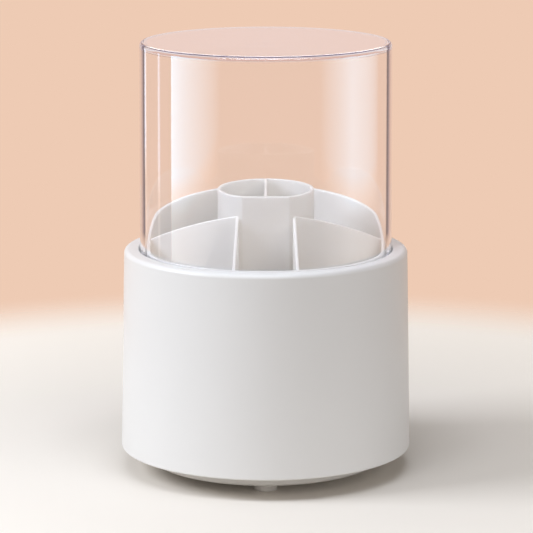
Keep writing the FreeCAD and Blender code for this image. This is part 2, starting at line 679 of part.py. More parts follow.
def make_nodes():
    """Every piece, from the table upwards."""
    sides = {"front": 270, "right": 0, "back": 90, "left": 180}
    nodes = [make_foot(f"foot_{side}", angle) for side, angle in sides.items()]
    nodes.append(make_base())
    nodes.append(make_cage())
    nodes += [make_ball(index) for index in range(round(number("ball_count")))]
    nodes.append(make_screw("pivot_screw", PIVOT_SCREW_LENGTH, ("0", "0", WASHER_UNDER)))
    nodes.append(make_washer())
    nodes.append(make_plate())
    for index in range(round(number("boss_count"))):
        place = on_circle(BOSS_CIRCLE, f"(boss_turn + {index} * 360 / boss_count)")
        nodes.append(make_screw(f"floor_screw_{index + 1}", "screw_length", (*place, PLATE_UNDER)))
    nodes.append(make_shell())
    nodes.append(make_insert())
    nodes.append(make_cover())
    return nodes


def check(nodes):
    """Stop before anything is written if a feature failed or a piece isn't one good solid."""
    for item in doc.Objects:
        if {"Invalid", "Error"} & set(item.State):
            raise RuntimeError(f"{item.Name} failed: {item.State}")
    for node in nodes:
        shape = node.Shape
        if shape.isNull() or not shape.isValid() or len(shape.Solids) != 1:
            raise RuntimeError(f"{node.Label} isn't one valid solid")


nodes = make_nodes()
doc.recompute()
check(nodes)
os.makedirs("parts", exist_ok=True)
for node in nodes:
    node.Shape.exportStep(f"parts/{node.Label}.step")
    print(f"{node.Label}: {node.Shape.Volume:.1f} mm3")
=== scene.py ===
import math

import bmesh
import bpy
from mathutils import Matrix, Vector


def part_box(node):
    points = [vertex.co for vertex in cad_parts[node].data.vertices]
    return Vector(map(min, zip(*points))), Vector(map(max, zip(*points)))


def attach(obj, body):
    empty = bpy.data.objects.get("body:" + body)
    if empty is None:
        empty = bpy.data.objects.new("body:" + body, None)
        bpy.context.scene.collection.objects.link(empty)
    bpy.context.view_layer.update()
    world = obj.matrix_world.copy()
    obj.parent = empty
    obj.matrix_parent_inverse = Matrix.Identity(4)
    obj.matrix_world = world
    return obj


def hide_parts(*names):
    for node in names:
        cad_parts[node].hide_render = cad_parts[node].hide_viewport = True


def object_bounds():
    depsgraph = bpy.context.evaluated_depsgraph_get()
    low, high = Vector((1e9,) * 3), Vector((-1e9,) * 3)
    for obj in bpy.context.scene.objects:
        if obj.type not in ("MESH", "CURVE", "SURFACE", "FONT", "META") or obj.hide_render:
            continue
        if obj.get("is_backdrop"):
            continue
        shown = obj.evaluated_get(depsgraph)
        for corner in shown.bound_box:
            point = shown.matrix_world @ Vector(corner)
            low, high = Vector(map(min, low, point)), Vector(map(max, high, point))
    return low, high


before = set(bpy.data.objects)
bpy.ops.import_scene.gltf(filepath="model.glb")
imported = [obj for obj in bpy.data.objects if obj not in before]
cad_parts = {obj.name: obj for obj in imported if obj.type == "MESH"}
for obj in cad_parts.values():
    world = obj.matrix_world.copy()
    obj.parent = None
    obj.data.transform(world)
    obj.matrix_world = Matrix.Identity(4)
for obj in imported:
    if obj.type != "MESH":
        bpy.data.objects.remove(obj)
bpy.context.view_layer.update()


# Four soft feet carry the holder. Each is moulded in off-white thermoplastic rubber, tapers to its tread
# and has a stem that is pressed into a hole of the base.
MM = 0.001
MERGE = 0.001 * MM
SHARP = math.radians(40)
ROUND_STEPS = 6


def turned(corners, rounds, steps):
    """Solid turned about the upright axis from the corners of its half section: radius and height.

    rounds maps a corner's place in the list to the radius of its rounding.
    A section that starts on the axis also ends there, and any other section is a closed loop.
    """
    mesh = bmesh.new()
    points = [mesh.verts.new((radius, 0, height)) for radius, height in corners]
    pairs = list(zip(points, points[1:]))
    if corners[0][0] > 0:
        pairs.append((points[-1], points[0]))
    for pair in pairs:
        mesh.edges.new(pair)
    for place, radius in rounds.items():
        bmesh.ops.bevel(mesh, geom=[points[place]], offset=radius, offset_type="OFFSET",
                        segments=ROUND_STEPS, profile=0.5, affect="VERTICES", material=-1)
    bmesh.ops.spin(mesh, geom=mesh.verts[:] + mesh.edges[:], cent=(0, 0, 0), axis=(0, 0, 1),
                   angle=2 * math.pi, steps=steps, use_merge=True)
    bmesh.ops.remove_doubles(mesh, verts=mesh.verts, dist=MERGE)
    bmesh.ops.recalc_face_normals(mesh, faces=mesh.faces)
    return mesh


def as_object(mesh, name, material=None):
    """Object at the origin that holds the mesh, smooth but for its sharp edges."""
    data = bpy.data.meshes.new(name)
    mesh.to_mesh(data)
    mesh.free()
    data.materials.append(material)
    data.shade_smooth()
    data.set_sharp_from_angle(angle=SHARP)
    made = bpy.data.objects.new(name, data)
    bpy.context.scene.collection.objects.link(made)
    return made


def fit(piece, body, slot, *nodes):
    """The piece moves with a body and stands for the nodes, which it hides. The slot is not used.

    Its large faces set the normals, so that they stay true up to the roundings beside them.
    """
    piece.modifiers.new("true faces", "WEIGHTED_NORMAL").keep_sharp = True
    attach(piece, body)
    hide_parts(*nodes)


def linear(code):
    """Linear colour, with alpha, of an sRGB hex code."""
    shares = [int(code[place:place + 2], 16) / 255 for place in (1, 3, 5)]
    return [s / 12.92 if s <= 0.04045 else ((s + 0.055) / 1.055) ** 2.4 for s in shares] + [1]


def add_node(tree, kind, inputs=None, **settings):
    """One node. An input is a plain value, or the output of another node that is linked to it."""
    made = tree.nodes.new(kind)
    for name, value in settings.items():
        setattr(made, name, value)
    for name, value in (inputs or {}).items():
        if isinstance(value, bpy.types.NodeSocket):
            tree.links.new(value, made.inputs[name])
        else:
            made.inputs[name].default_value = value
    return made


def new_material(name):
    """Empty node material and its tree."""
    made = bpy.data.materials.new(name)
    made.use_nodes = True
    made.node_tree.nodes.clear()
    return made, made.node_tree


def foot_rubber():
    """Thermoplastic rubber, moulded against a blasted tool: matt, with a fine even grain."""
    grain_size = 0.35 * MM
    cloud_size = 6 * MM
    made, tree = new_material("Thermoplastic rubber, off-white")
    where = add_node(tree, "ShaderNodeTexCoord").outputs["Object"]
    cloud = add_node(tree, "ShaderNodeTexNoise", {"Vector": where, "Scale": 1 / cloud_size, "Detail": 2})
    colour = add_node(tree, "ShaderNodeMix", {
        "Factor": cloud.outputs["Fac"], "A": linear("#F6F2EC"), "B": linear("#FBF8F3"),
    }, data_type="RGBA")
    grain = add_node(tree, "ShaderNodeTexNoise", {"Vector": where, "Scale": 1 / grain_size, "Detail": 3})
    bump = add_node(tree, "ShaderNodeBump", {
        "Height": grain.outputs["Fac"], "Strength": 0.35, "Distance": 0.05 * MM,
    })
    shader = add_node(tree, "ShaderNodeBsdfPrincipled", {
        "Base Color": colour.outputs["Result"], "Roughness": 0.62, "IOR": 1.5,
        "Normal": bump.outputs["Normal"],
    })
    add_node(tree, "ShaderNodeOutputMaterial", {"Surface": shader.outputs["BSDF"]})
    return made


foot_low, foot_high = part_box("foot_front")
FOOT_TOP_RADIUS = (foot_high.x - foot_low.x) / 2
FOOT_TIP_RADIUS = 5.35 * MM
STEM_RADIUS = 2.4 * MM
TREAD_ROUND = 0.5 * MM
SHOULDER_ROUND = 0.25 * MM
STEM_ROUND = 0.4 * MM
FOOT_STEPS = 96
BASE_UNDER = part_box("turntable_base")[0].z
rubber = foot_rubber()
for side in ("front", "right", "back", "left"):
    low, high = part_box(f"foot_{side}")
    foot = turned([
        (0, low.z),
        (FOOT_TIP_RADIUS, low.z),
        (FOOT_TOP_RADIUS, BASE_UNDER),
        (STEM_RADIUS, BASE_UNDER),
        (STEM_RADIUS, high.z),
        (0, high.z),
    ], {1: TREAD_ROUND, 2: SHOULDER_ROUND, 4: STEM_ROUND}, FOOT_STEPS)
    bmesh.ops.translate(foot, verts=foot.verts, vec=((low.x + high.x) / 2, (low.y + high.y) / 2, 0))
    fit(as_object(foot, f"{side}_foot", rubber), "base", "foot_rubber", f"foot_{side}")


# The base is a low disc that the cup turns on, moulded in white ABS with a satin face. Its rim wall hides
# the ball race, and a recess in the middle of its underside hides the pivot screw.
def satin_abs(name, light, dark, rough, grain_size, depth=0.0):
    """ABS from a spark-eroded mould: even and white, with a satin grain and faint clouds from its flow.

    A depth above 0 lets light that far into a thin wall, which softens its shaded side.
    """
    cloud_size = 45 * MM
    patch_size = 14 * MM
    made, tree = new_material(name)
    where = add_node(tree, "ShaderNodeTexCoord").outputs["Object"]
    cloud = add_node(tree, "ShaderNodeTexNoise", {"Vector": where, "Scale": 1 / cloud_size, "Detail": 3})
    colour = add_node(tree, "ShaderNodeMix", {
        "Factor": cloud.outputs["Fac"], "A": linear(dark), "B": linear(light),
    }, data_type="RGBA")
    patch = add_node(tree, "ShaderNodeTexNoise", {"Vector": where, "Scale": 1 / patch_size, "Detail": 4})
    roughness = add_node(tree, "ShaderNodeMapRange", {
        "Value": patch.outputs["Fac"], "From Min": 0.3, "From Max": 0.7,
        "To Min": rough - 0.04, "To Max": rough + 0.04,
    })
    grain = add_node(tree, "ShaderNodeTexNoise", {"Vector": where, "Scale": 1 / grain_size, "Detail": 2})
    bump = add_node(tree, "ShaderNodeBump", {
        "Height": grain.outputs["Fac"], "Strength": 0.12, "Distance": 0.02 * MM,
    })
    shader = add_node(tree, "ShaderNodeBsdfPrincipled", {
        "Base Color": colour.outputs["Result"], "Roughness": roughness.outputs["Result"], "IOR": 1.53,
        "Subsurface Weight": 0.7 if depth else 0.0, "Subsurface Radius": (1, 1, 1),
        "Subsurface Scale": depth,
        "Normal": bump.outputs["Normal"],
    })
    add_node(tree, "ShaderNodeOutputMaterial", {"Surface": shader.outputs["BSDF"]})
    return made


def cut_or_join(piece, others, operation):
    """Apply the other solids to the piece, by union or by difference, and drop them."""
    for other in others:
        change = piece.modifiers.new("solid", "BOOLEAN")
        change.operation = operation
        change.solver = "EXACT"
        change.object = other
    shown = piece.evaluated_get(bpy.context.evaluated_depsgraph_get())
    data = bpy.data.meshes.new_from_object(shown)
    piece.modifiers.clear()
    old = piece.data
    piece.data = data
    bpy.data.meshes.remove(old)
    for other in others:
        bpy.data.meshes.remove(other.data)
    data.shade_smooth()
    data.set_sharp_from_angle(angle=SHARP)


def peg(radius, low, high, centre):
    """Plain upright cylinder that cuts a hole."""
    mesh = bmesh.new()
    place = Matrix.Translation((*centre, (low + high) / 2))
    bmesh.ops.create_cone(mesh, cap_ends=True, segments=64, radius1=radius, radius2=radius,
                          depth=high - low, matrix=place)
    return as_object(mesh, "peg")


base_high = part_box("turntable_base")[1]
BASE_RADIUS = base_high.x
BASE_FLOOR = BASE_UNDER + 2.5 * MM
BASE_RIM = BASE_UNDER + 8.0 * MM
BASE_WALL = 2.4 * MM
LAND = BASE_UNDER + 6.2 * MM
BALL_LEVEL = LAND + 1.5 * MM
RACE_RADIUS = 36.0 * MM
LAND_HALF = 4.5 * MM
GROOVE_RADIUS = 3.05 * MM
GROOVE_HALF = math.sqrt(GROOVE_RADIUS ** 2 - (BALL_LEVEL - LAND) ** 2)
HUB_RECESS = 9.0 * MM
HUB_WALL = 2.6 * MM
HUB_CEILING = BASE_UNDER + 3.9 * MM
HUB_TOP = HUB_CEILING + 2.5 * MM
SLEEVE_RADIUS = 6.6 * MM
PIVOT_BORE = 4.06 * MM
STEM_HOLE = STEM_RADIUS + 0.05 * MM
HUB_ROUND = 0.5 * MM
BASE_ROUND = 1.2 * MM
BASE_RIM_ROUND = 0.4 * MM
BASE_STEPS = 256


def groove(steps=12):
    """Points of the ball groove's round bottom in the land, from its inner to its outer edge."""
    start = math.asin(GROOVE_HALF / GROOVE_RADIUS)
    angles = [start * (2 * step / steps - 1) for step in range(steps + 1)]
    return [(RACE_RADIUS + GROOVE_RADIUS * math.sin(a), BALL_LEVEL - GROOVE_RADIUS * math.cos(a))
            for a in angles]


base = as_object(turned([
    (PIVOT_BORE, HUB_CEILING),
    (HUB_RECESS, HUB_CEILING),
    (HUB_RECESS, BASE_UNDER),
    (BASE_RADIUS, BASE_UNDER),
    (BASE_RADIUS, BASE_RIM),
    (BASE_RADIUS - BASE_WALL, BASE_RIM),
    (BASE_RADIUS - BASE_WALL, BASE_FLOOR),
    (RACE_RADIUS + LAND_HALF, BASE_FLOOR),
    (RACE_RADIUS + LAND_HALF, LAND),
    *reversed(groove()),
    (RACE_RADIUS - LAND_HALF, LAND),
    (RACE_RADIUS - LAND_HALF, BASE_FLOOR),
    (HUB_RECESS + HUB_WALL, BASE_FLOOR),
    (HUB_RECESS + HUB_WALL, HUB_TOP),
    (SLEEVE_RADIUS, HUB_TOP),
    (SLEEVE_RADIUS, base_high.z),
    (PIVOT_BORE, base_high.z),
], {2: HUB_ROUND, 3: BASE_ROUND, 4: BASE_RIM_ROUND, 5: BASE_RIM_ROUND}, BASE_STEPS),
    "base_disc", satin_abs("Satin ABS, base", "#EDEAE5", "#E8E5DF", 0.5, 0.5 * MM))
stem_holes = []
for side in ("front", "right", "back", "left"):
    low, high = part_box(f"foot_{side}")
    centre = ((low.x + high.x) / 2, (low.y + high.y) / 2)
    stem_holes.append(peg(STEM_HOLE, BASE_UNDER - MM, BASE_FLOOR + MM, centre))
cut_or_join(base, stem_holes, "DIFFERENCE")
fit(base, "base", "base_white", "turntable_base")


# Twelve balls of polished bearing steel carry the cup. A flat ring of natural acetal spaces them, punched
# with one hole for each ball, and both lie loose between the two races.
def bearing_steel():
    """Chrome steel ball, ground and lapped: a mirror with the faintest haze."""
    haze_size = 1.5 * MM
    made, tree = new_material("Bearing steel, lapped")
    where = add_node(tree, "ShaderNodeTexCoord").outputs["Object"]
    haze = add_node(tree, "ShaderNodeTexNoise", {"Vector": where, "Scale": 1 / haze_size, "Detail": 4})
    roughness = add_node(tree, "ShaderNodeMapRange", {
        "Value": haze.outputs["Fac"], "To Min": 0.06, "To Max": 0.16,
    })
    shader = add_node(tree, "ShaderNodeBsdfPrincipled", {
        "Base Color": linear("#C9C9CB"), "Metallic": 1.0, "Roughness": roughness.outputs["Result"],
    })
    add_node(tree, "ShaderNodeOutputMaterial", {"Surface": shader.outputs["BSDF"]})
    return made


def acetal():
    """Natural acetal sheet: milky, with a dull waxy sheen."""
    cloud_size = 8 * MM
    made, tree = new_material("Natural acetal")
    where = add_node(tree, "ShaderNodeTexCoord").outputs["Object"]
    cloud = add_node(tree, "ShaderNodeTexNoise", {"Vector": where, "Scale": 1 / cloud_size, "Detail": 3})
    colour = add_node(tree, "ShaderNodeMix", {
        "Factor": cloud.outputs["Fac"], "A": linear("#DEDCD4"), "B": linear("#EAE8E1"),
    }, data_type="RGBA")
    shader = add_node(tree, "ShaderNodeBsdfPrincipled", {
        "Base Color": colour.outputs["Result"], "Roughness": 0.45, "IOR": 1.48,
        "Subsurface Weight": 0.1, "Subsurface Radius": (2 * MM, 2 * MM, 2 * MM), "Subsurface Scale": 1.0,
    })
    add_node(tree, "ShaderNodeOutputMaterial", {"Surface": shader.outputs["BSDF"]})
    return made


def repaint(node, material):
    """Give a CAD node a new material in all its slots."""
    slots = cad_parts[node].data.materials
    slots.clear()
    slots.append(material)


steel = bearing_steel()
for number in range(1, 13):
    repaint(f"steel_ball_{number:02d}", steel)
repaint("ball_cage", acetal())


# The floor plate closes the cup from below. It is moulded in white ABS with the upper race and the pivot
# boss, and pan-head screws of zinc-plated steel hold it to the shell and keep the pivot in the base.
def zinc_plate():
    """Zinc plate over rolled steel: pale, slightly cloudy, with fine marks from tumbling."""
    cloud_size = 1.2 * MM
    made, tree = new_material("Zinc-plated steel")
    where = add_node(tree, "ShaderNodeTexCoord").outputs["Object"]
    cloud = add_node(tree, "ShaderNodeTexNoise", {"Vector": where, "Scale": 1 / cloud_size, "Detail": 5})
    colour = add_node(tree, "ShaderNodeMix", {
        "Factor": cloud.outputs["Fac"], "A": linear("#B4B4B2"), "B": linear("#CBCBCC"),
    }, data_type="RGBA")
    roughness = add_node(tree, "ShaderNodeMapRange", {
        "Value": cloud.outputs["Fac"], "To Min": 0.22, "To Max": 0.4,
    })
    shader = add_node(tree, "ShaderNodeBsdfPrincipled", {
        "Base Color": colour.outputs["Result"], "Metallic": 1.0, "Roughness": roughness.outputs["Result"],
    })
    add_node(tree, "ShaderNodeOutputMaterial", {"Surface": shader.outputs["BSDF"]})
    return made


repaint("floor_plate", satin_abs("Satin ABS, floor plate", "#EEEDEA", "#E9E8E4", 0.5, 0.5 * MM))
zinc = zinc_plate()
for node in ("pivot_screw", "pivot_washer", *(f"floor_screw_{number}" for number in range(1, 5))):
    repaint(node, zinc)


# The shell is the outer wall of the cup, moulded in white ABS with a fine satin face. Its rim turns in to
# a seat that the cover stands on, and four bosses inside it take the screws of the floor plate.
shell_low, shell_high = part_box("outer_shell")
plate_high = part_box("floor_plate")[1]
RIM = shell_high.z
SHELL_FOOT = shell_low.z
SHELL_FOOT_RADIUS = shell_high.x
SHELL_RIM_RADIUS = SHELL_FOOT_RADIUS - 2.0 * MM
SHELL_WALL = 2.5 * MM
RIM_THICKNESS = 2.6 * MM
COVER_BORE = SHELL_RIM_RADIUS - 7.05 * MM
SEAT = RIM - 8.6 * MM
SEAT_BORE = COVER_BORE - 3.0 * MM
SEAT_UNDER = SEAT - 2.0 * MM
SEAT_OUTER = COVER_BORE + 2.0 * MM
RIM_UNDER = RIM - RIM_THICKNESS
BOSS_RADIUS = 4.4 * MM
BOSS_TOP = plate_high.z + 16.0 * MM
BOSS_CIRCLE = SHELL_FOOT_RADIUS - SHELL_WALL - 4.0 * MM
PILOT_RADIUS = 1.55 * MM
PILOT_TOP = plate_high.z + 7.6 * MM
SHELL_FOOT_ROUND = 0.8 * MM
RIM_OUTER_ROUND = 2.2 * MM
RIM_INNER_ROUND = 0.6 * MM
SEAT_ROUND = 0.4 * MM
SHELL_STEPS = 320
BOSS_STEPS = 64

shell = as_object(turned([
    (SHELL_FOOT_RADIUS, SHELL_FOOT),
    (SHELL_RIM_RADIUS, RIM),
    (COVER_BORE, RIM),
    (COVER_BORE, SEAT),
    (SEAT_BORE, SEAT),
    (SEAT_BORE, SEAT_UNDER),
    (SEAT_OUTER, SEAT_UNDER),
    (SEAT_OUTER, RIM_UNDER),
    (SHELL_RIM_RADIUS - SHELL_WALL, RIM_UNDER),
    (SHELL_FOOT_RADIUS - SHELL_WALL, SHELL_FOOT),
], {0: SHELL_FOOT_ROUND, 1: RIM_OUTER_ROUND, 2: RIM_INNER_ROUND, 4: SEAT_ROUND}, SHELL_STEPS),
    "cup_shell", satin_abs("Satin ABS, shell", "#F4F3F1", "#F1F0EE", 0.36, 0.4 * MM))
bosses = []
for quarter in range(4):
    angle = math.radians(45 + 90 * quarter)
    boss = turned([
        (0, PILOT_TOP),
        (PILOT_RADIUS, PILOT_TOP),
        (PILOT_RADIUS, plate_high.z),
        (BOSS_RADIUS, plate_high.z),
        (BOSS_RADIUS, BOSS_TOP),
        (0, BOSS_TOP),
    ], {}, BOSS_STEPS)
    bmesh.ops.translate(boss, verts=boss.verts,
                        vec=(BOSS_CIRCLE * math.cos(angle), BOSS_CIRCLE * math.sin(angle), 0))
    bosses.append(as_object(boss, "boss"))
cut_or_join(shell, bosses, "UNION")
fit(shell, "cup", "shell_white", "outer_shell")


# The divider drops into the cup and stands on the floor plate. It is one moulding of white ABS: a ring wall
# with a swept rim, a tube with a flat front, and thin walls that part the space for the brushes.
insert_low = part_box("divider_insert")[0]
INSERT_FLOOR = insert_low.z + 1.8 * MM
WALL_FOOT = insert_low.z + 0.9 * MM
RING_RIM_RADIUS = SEAT_BORE - 0.85 * MM
RING_DRAFT = 1.1 * MM
RING_WALL = 1.6 * MM
RING_FRONT = RIM - 0.3 * MM
BEND_BACK = 17.0 * MM
BEND_LEVEL = RING_FRONT + 14.2 * MM
BACK_SLOPE = math.tan(math.radians(9.8))
SIDE_SLOPE = math.tan(math.radians(28))
EASE = 1.3 * MM
EDGE_ROUND = 0.45 * MM
EDGE_STEPS = 3
RING_FOOT_ROUND = 1.5 * MM
FLOOR_ROUND = 0.8 * MM
RING_STEPS = 384
TUBE_STEPS = 192
TUBE_RADIUS = 23.1 * MM
TUBE_FLAT = 20.3 * MM
TUBE_WALL = 1.6 * MM
TUBE_TOP = RIM + 28.9 * MM
TUBE_SLOPE = math.tan(math.radians(2))
PARTITION = 1.3 * MM
FLAT_HALF = math.sqrt(TUBE_RADIUS ** 2 - TUBE_FLAT ** 2)
WING_WALL = 1.6 * MM
WING_SWEEP = math.radians(24)
WING_NECK = 1.3 * MM
NECK_DROP = 7.9 * MM
NECK_ROUND = 2.5 * MM
WING_FALL = math.radians(11)
WING_CURVE = 205 * MM
FRONT_WALL = 1.5 * MM
FRONT_HALF = 13.4 * MM
FRONT_SPLAY = math.radians(1.9)


def ring_radius(level):
    """Outside of the ring wall at a level."""
    return RING_RIM_RADIUS - RING_DRAFT * (RIM - level) / (RIM - insert_low.z)


def smaller(a, b, ease):
    """The smaller of two lengths, eased where they cross."""
    share = max(ease - abs(a - b), 0) / ease
    return min(a, b) - share * share * ease / 4


def rim_level(y):
    """Height of the ring wall's rim: level in front, a climb at the side, a gentle rise at the back."""
    climb = BEND_LEVEL + (y - BEND_BACK) * SIDE_SLOPE
    back = BEND_LEVEL + (y - BEND_BACK) * BACK_SLOPE
    return -smaller(-smaller(climb, back, EASE), -RING_FRONT, EASE)


def round_edges(mesh, edges):
    """Ease the edges with the small rounding that a mould leaves."""
    bmesh.ops.bevel(mesh, geom=edges, offset=EDGE_ROUND, offset_type="OFFSET", segments=EDGE_STEPS,
                    profile=0.5, affect="EDGES", material=-1)


def ring_moulding():
    """Floor and ring wall, turned with a level rim that is then swept."""
    top = ring_radius(RING_FRONT)
    foot = ring_radius(insert_low.z)
    mesh = turned([
        (0, insert_low.z),
        (foot, insert_low.z),
        (top, RING_FRONT),
        (top - RING_WALL, RING_FRONT),
        (ring_radius(INSERT_FLOOR) - RING_WALL, INSERT_FLOOR),
        (0, INSERT_FLOOR),
    ], {1: RING_FOOT_ROUND, 4: FLOOR_ROUND}, RING_STEPS)
    rim = [vert for vert in mesh.verts if abs(vert.co.z - RING_FRONT) < MERGE]
    for vert in rim:
        level = rim_level(vert.co.y)
        spread = 1 + (ring_radius(level) - top) / top
        vert.co = (vert.co.x * spread, vert.co.y * spread, level)
    swept = set(rim)
    lines = [edge for edge in mesh.edges if swept.issuperset(edge.verts)
             and abs(edge.verts[0].co.xy.length - edge.verts[1].co.xy.length) < RING_WALL / 2]
    round_edges(mesh, lines)
    return mesh


def tube_moulding():
    """Tube wall with a flat front, and a top that falls towards it."""
    mesh = bmesh.new()
    bmesh.ops.create_circle(mesh, cap_ends=True, segments=TUBE_STEPS, radius=TUBE_RADIUS)
    bmesh.ops.bisect_plane(mesh, geom=mesh.verts[:] + mesh.edges[:] + mesh.faces[:],
                           plane_co=(0, -TUBE_FLAT, 0), plane_no=(0, -1, 0), clear_outer=True)
    bmesh.ops.translate(mesh, verts=mesh.verts, vec=(0, 0, WALL_FOOT))
    bmesh.ops.inset_region(mesh, faces=mesh.faces[:], thickness=TUBE_WALL, use_boundary=True,
                           use_even_offset=True)
    middle = min(mesh.faces, key=lambda face: face.calc_center_median().xy.length)
    bmesh.ops.delete(mesh, geom=[middle], context="FACES_ONLY")
    raised = bmesh.ops.extrude_face_region(mesh, geom=mesh.faces[:], use_keep_orig=True)["geom"]
    top = {item for item in raised if isinstance(item, bmesh.types.BMVert)}
    for vert in top:
        vert.co.z = TUBE_TOP + vert.co.y * TUBE_SLOPE
    bmesh.ops.recalc_face_normals(mesh, faces=mesh.faces)
    lines = [edge for edge in mesh.edges if top.issuperset(edge.verts)
             and any(not top.issuperset(face.verts) for face in edge.link_faces)]
    round_edges(mesh, lines)
    return mesh


def wall_from(outline, thickness, rounded):
    """Upright wall in the XZ plane, middle on y 0, with the rounded ones of its outline's edges eased."""
    mesh = bmesh.new()
    points = [mesh.verts.new((along, -thickness / 2, level)) for along, level in outline]
    mesh.faces.new(points)
    made = bmesh.ops.extrude_face_region(mesh, geom=mesh.faces[:], use_keep_orig=True)["geom"]
    far = [item for item in made if isinstance(item, bmesh.types.BMVert)]
    bmesh.ops.translate(mesh, verts=far, vec=(0, thickness, 0))
    bmesh.ops.recalc_face_normals(mesh, faces=mesh.faces)
    ends = {(round(along, 7), round(level, 7)) for along, level in rounded}
    lines = [edge for edge in mesh.edges
             if all((round(vert.co.x, 7), round(vert.co.z, 7)) in ends for vert in edge.verts)
             and abs(edge.verts[0].co.y - edge.verts[1].co.y) < MERGE]
    round_edges(mesh, lines)
    return mesh


def reach(start, way, level):
    """Distance from a point, along a level way, to the middle of the ring wall."""
    along = start.dot(way)
    radius = ring_radius(level) - RING_WALL / 2
    return math.sqrt(along * along - start.length_squared + radius * radius) - along


def arc(start, finish, radius, steps):
    """Points from start to finish on a minor arc that bulges to the left of the way, both ends included."""
    chord = finish - start
    half = chord.length / 2
    bulge = Vector((-chord.y, chord.x)).normalized()
    centre = (start + finish) / 2 - bulge * math.sqrt(radius * radius - half * half)
    turn = 2 * math.asin(half / radius)
    first = start - centre
    return [centre + Matrix.Rotation(-turn * step / steps, 2) @ first for step in range(steps + 1)]


def wing_moulding(side):
    """Wing wall from a corner of the flat front to the ring, with a neck beside the tube's top."""
    corner = Vector((FLAT_HALF, -TUBE_FLAT))
    way = Vector((math.cos(WING_SWEEP), math.sin(WING_SWEEP)))
    tip = reach(corner, way, RING_FRONT)
    neck_end = TUBE_TOP - NECK_DROP
    shoulder = Vector((WING_NECK + NECK_ROUND * (1 - math.sin(WING_FALL)),
                       neck_end - NECK_ROUND * math.cos(WING_FALL)))
    run = tip - shoulder.x + WING_CURVE * math.sin(WING_FALL)
    drop = WING_CURVE * math.cos(WING_FALL) - math.sqrt(WING_CURVE ** 2 - run ** 2)
    top = TUBE_TOP + corner.y * TUBE_SLOPE
    edge = arc(shoulder, Vector((tip, shoulder.y - drop)), WING_CURVE, 24)
    hollow = arc(shoulder, Vector((WING_NECK, neck_end)), NECK_ROUND, 6)
    upper = [(WING_NECK, top), *(tuple(p) for p in reversed(hollow)), *(tuple(p) for p in edge[1:])]
    outline = [(0, WALL_FOOT), (reach(corner, way, WALL_FOOT), WALL_FOOT), *reversed(upper), (0, top)]
    mesh = wall_from(outline, WING_WALL, upper)
    place = Matrix.Translation((corner.x, corner.y, 0)) @ Matrix.Rotation(WING_SWEEP, 4, "Z")
    bmesh.ops.transform(mesh, matrix=place @ Matrix.Translation((0, WING_WALL / 2, 0)), verts=mesh.verts)
    bmesh.ops.scale(mesh, vec=(side, 1, 1), verts=mesh.verts)
    bmesh.ops.recalc_face_normals(mesh, faces=mesh.faces)
    return mesh, shoulder.y


def front_moulding(side, root_level):
    """Front wall from a wing to the ring, with a straight top that falls forward."""
    root = Vector((FRONT_HALF, WING_WALL / 2 - TUBE_FLAT + (FRONT_HALF - FLAT_HALF) * math.tan(WING_SWEEP)))
    way = Vector((math.sin(FRONT_SPLAY), -math.cos(FRONT_SPLAY)))
    upper = [(0, root_level), (reach(root, way, RING_FRONT), RING_FRONT)]
    mesh = wall_from([(0, WALL_FOOT), (reach(root, way, WALL_FOOT), WALL_FOOT), *reversed(upper)],
                     FRONT_WALL, upper)
    turn = Matrix.Rotation(FRONT_SPLAY - math.pi / 2, 4, "Z")
    bmesh.ops.transform(mesh, matrix=Matrix.Translation((root.x, root.y, 0)) @ turn, verts=mesh.verts)
    bmesh.ops.scale(mesh, vec=(side, 1, 1), verts=mesh.verts)
    bmesh.ops.recalc_face_normals(mesh, faces=mesh.faces)
    return mesh


def partition_moulding():
    """Partition of the tube, from its flat front to its back."""
    front = -TUBE_FLAT + TUBE_WALL / 2
    back = TUBE_RADIUS - TUBE_WALL / 2
    upper = [(front, TUBE_TOP + front * TUBE_SLOPE), (back, TUBE_TOP + back * TUBE_SLOPE)]
    mesh = wall_from([(front, WALL_FOOT), (back, WALL_FOOT), *reversed(upper)], PARTITION, upper)
    bmesh.ops.rotate(mesh, cent=(0, 0, 0), matrix=Matrix.Rotation(math.pi / 2, 3, "Z"), verts=mesh.verts)
    return mesh


divider = as_object(ring_moulding(), "divider_moulding",
                    satin_abs("Satin ABS, divider", "#FAF7F1", "#F7F4EE", 0.34, 0.4 * MM, 4 * MM))
walls = [tube_moulding(), partition_moulding()]
for side in (-1, 1):
    wing, shoulder_level = wing_moulding(side)
    walls += [wing, front_moulding(side, shoulder_level)]
cut_or_join(divider, [as_object(wall, "wall") for wall in walls], "UNION")
fit(divider, "divider", "divider_white", "divider_insert")


